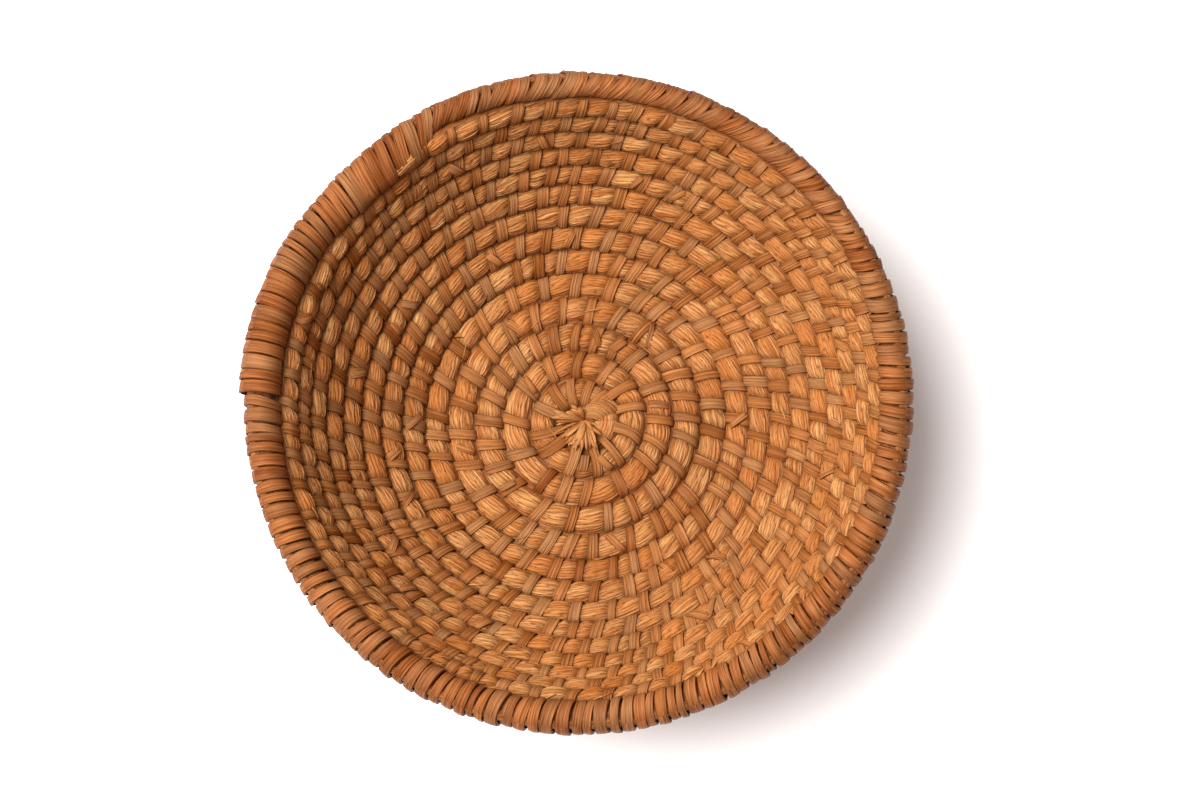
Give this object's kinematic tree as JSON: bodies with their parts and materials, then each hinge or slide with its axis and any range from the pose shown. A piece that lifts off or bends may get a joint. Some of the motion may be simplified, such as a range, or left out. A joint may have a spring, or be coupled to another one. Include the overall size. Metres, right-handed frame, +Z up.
{
  "type": "coiled straw basket",
  "caption": "Shallow round basket of coiled straw rope bound with split skeins, with a flat base, a flared wall and a closely lashed rim.",
  "frame": {"origin": "centre of the basket's outline on the surface it stands on", "axes": "+Z up out of the basket's mouth; the rope coils outwards anticlockwise seen from above; the rope's end and the step in the rim are at the back left, at about 126 degrees from +X towards +Y"},
  "size_m": [0.3016, 0.3013, 0.0951],
  "materials": {
    "straw": "satin",
    "split_skein": "satin"
  },
  "bodies": {
    "root": {"starting_knot": "straw", "straw_lap_01": "straw", "straw_lap_02": "straw", "straw_lap_03": "straw", "straw_lap_04": "straw", "straw_lap_05": "straw", "straw_lap_06": "straw", "straw_lap_07": "straw", "straw_lap_08": "straw", "straw_lap_09": "straw", "straw_lap_10": "straw", "straw_lap_11": "straw", "straw_lap_12": "straw", "straw_lap_13": "straw", "rim_straw": "straw", "binding_lap_01": "split_skein", "binding_lap_02": "split_skein", "binding_lap_03": "split_skein", "binding_lap_04": "split_skein", "binding_lap_05": "split_skein", "binding_lap_06": "split_skein", "binding_lap_07": "split_skein", "binding_lap_08": "split_skein", "binding_lap_09": "split_skein", "binding_lap_10": "split_skein", "binding_lap_11": "split_skein", "binding_lap_12": "split_skein", "binding_lap_13": "split_skein", "rim_lashing": "split_skein"}
  },
  "joints": []
}
